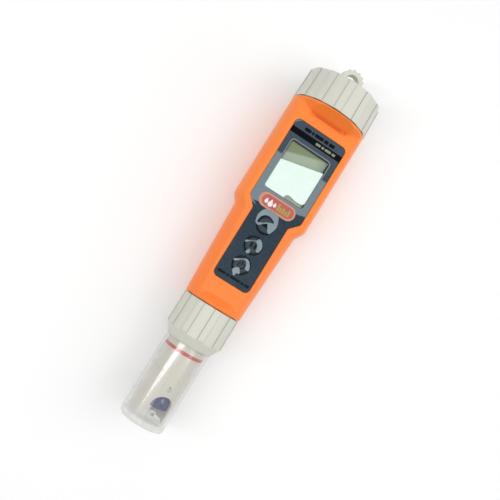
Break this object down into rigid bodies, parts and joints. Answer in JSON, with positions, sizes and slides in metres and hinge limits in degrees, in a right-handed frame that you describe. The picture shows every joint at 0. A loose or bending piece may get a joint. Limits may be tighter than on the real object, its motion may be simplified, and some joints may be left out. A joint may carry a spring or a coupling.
{
  "type": "pen pH meter",
  "caption": "Pen-shaped pH tester with a clear storage cup over its electrode, a ribbed collar, a flat display face with buttons and a screw battery cap with a lanyard eye.",
  "frame": {"origin": "centre of the bounding box's underside, where the pen rests on its back", "axes": "+Y along the pen towards the battery cap, +Z out of the display, +X to the right of the display"},
  "size_m": [0.038, 0.188, 0.038],
  "materials": {
    "orange_shell": "satin moulded",
    "grey_plastic": "satin moulded",
    "label_film": "glossy printed film",
    "clear_lens": "polished clear",
    "lcd_panel": "reflective display",
    "black_plastic": "moulded",
    "grey_rubber": "soft",
    "board_green": "solder mask",
    "chip_black": "moulded",
    "steel": "brushed",
    "gold_contact": "plated",
    "ceramic_parts": "matte",
    "button_grey": "glossy film",
    "clear_cup": "polished clear",
    "red_rubber": "smooth",
    "black_rubber": "smooth",
    "probe_plastic": "satin",
    "blue_seal": "potting resin",
    "bulb_glass": "clear"
  },
  "bodies": {
    "housing": {"housing_shell": "orange_shell", "front_label": "label_film", "display_window": "clear_lens", "display_frame": "black_plastic", "lcd_glass": "lcd_panel", "contact_rubber": "grey_rubber", "circuit_board": "board_green", "processor_chip": "chip_black", "amplifier_chip": "chip_black", "clock_crystal": "steel", "capacitors": "ceramic_parts", "board_screws": "steel", "inner_chassis": "black_plastic", "battery_tray": "black_plastic", "cell_contact": "steel", "contact_strip": "gold_contact", "button_cell_1": "steel", "button_cell_2": "steel", "button_cell_3": "steel", "button_cell_4": "steel", "battery_neck": "grey_plastic", "neck_seal": "black_rubber", "mode_switch": "black_plastic", "hold_switch": "black_plastic", "power_switch": "black_plastic", "probe_socket": "black_plastic", "socket_terminals": "gold_contact"},
    "cap_contact": {"contact_plate": "steel", "contact_spring": "steel"},
    "cap": {"battery_cap": "grey_plastic"},
    "mode_key": {"mode_button": "button_grey", "mode_plunger": "black_plastic"},
    "hold_key": {"hold_button": "button_grey", "hold_plunger": "black_plastic"},
    "power_key": {"power_button": "button_grey", "power_plunger": "black_plastic"},
    "electrode": {"electrode_body": "probe_plastic", "electrode_gasket": "black_rubber", "electrode_pins": "gold_contact", "bulb_seal": "blue_seal", "glass_bulb": "bulb_glass", "silver_wire": "steel", "reference_junction": "ceramic_parts", "cup_seal": "red_rubber"},
    "collar": {"electrode_collar": "grey_plastic"},
    "cup": {"storage_cup": "clear_cup"}
  },
  "joints": [
    {"name": "cap_lift", "type": "slide", "parent": "housing", "child": "cap_contact", "axis": [0, 1, 0], "range_m": [0, 0.01201]},
    {"name": "cap_turn", "type": "hinge", "parent": "cap_contact", "child": "cap", "pos_m": [0, 0.0685, 0.019], "axis": [0, 1, 0], "range_deg": [0, 1080]},
    {"name": "electrode_withdraw", "type": "slide", "parent": "housing", "child": "electrode", "axis": [0, -1, 0], "range_m": [0, 0.00801]},
    {"name": "collar_turn", "type": "hinge", "parent": "electrode", "child": "collar", "pos_m": [0, -0.033, 0.019], "axis": [0, -1, 0], "range_deg": [0, 720]},
    {"name": "cup_pull", "type": "slide", "parent": "electrode", "child": "cup", "axis": [0, -1, 0], "range_m": [0, 0.04]},
    {"name": "mode_press", "type": "slide", "parent": "housing", "child": "mode_key", "axis": [0, 0, -1], "range_m": [0, 0.0004], "stiffness_N_per_m": 2000, "springref_m": -0.0002},
    {"name": "hold_press", "type": "slide", "parent": "housing", "child": "hold_key", "axis": [0, 0, -1], "range_m": [0, 0.0004], "stiffness_N_per_m": 2000, "springref_m": -0.0002},
    {"name": "power_press", "type": "slide", "parent": "housing", "child": "power_key", "axis": [0, 0, -1], "range_m": [0, 0.0004], "stiffness_N_per_m": 2000, "springref_m": -0.0002}
  ],
  "couplings": [
    {"joint": "cap_lift", "follows": "cap_turn", "m_per_rad": 0.00063662},
    {"joint": "electrode_withdraw", "follows": "collar_turn", "m_per_rad": 0.00063662}
  ]
}
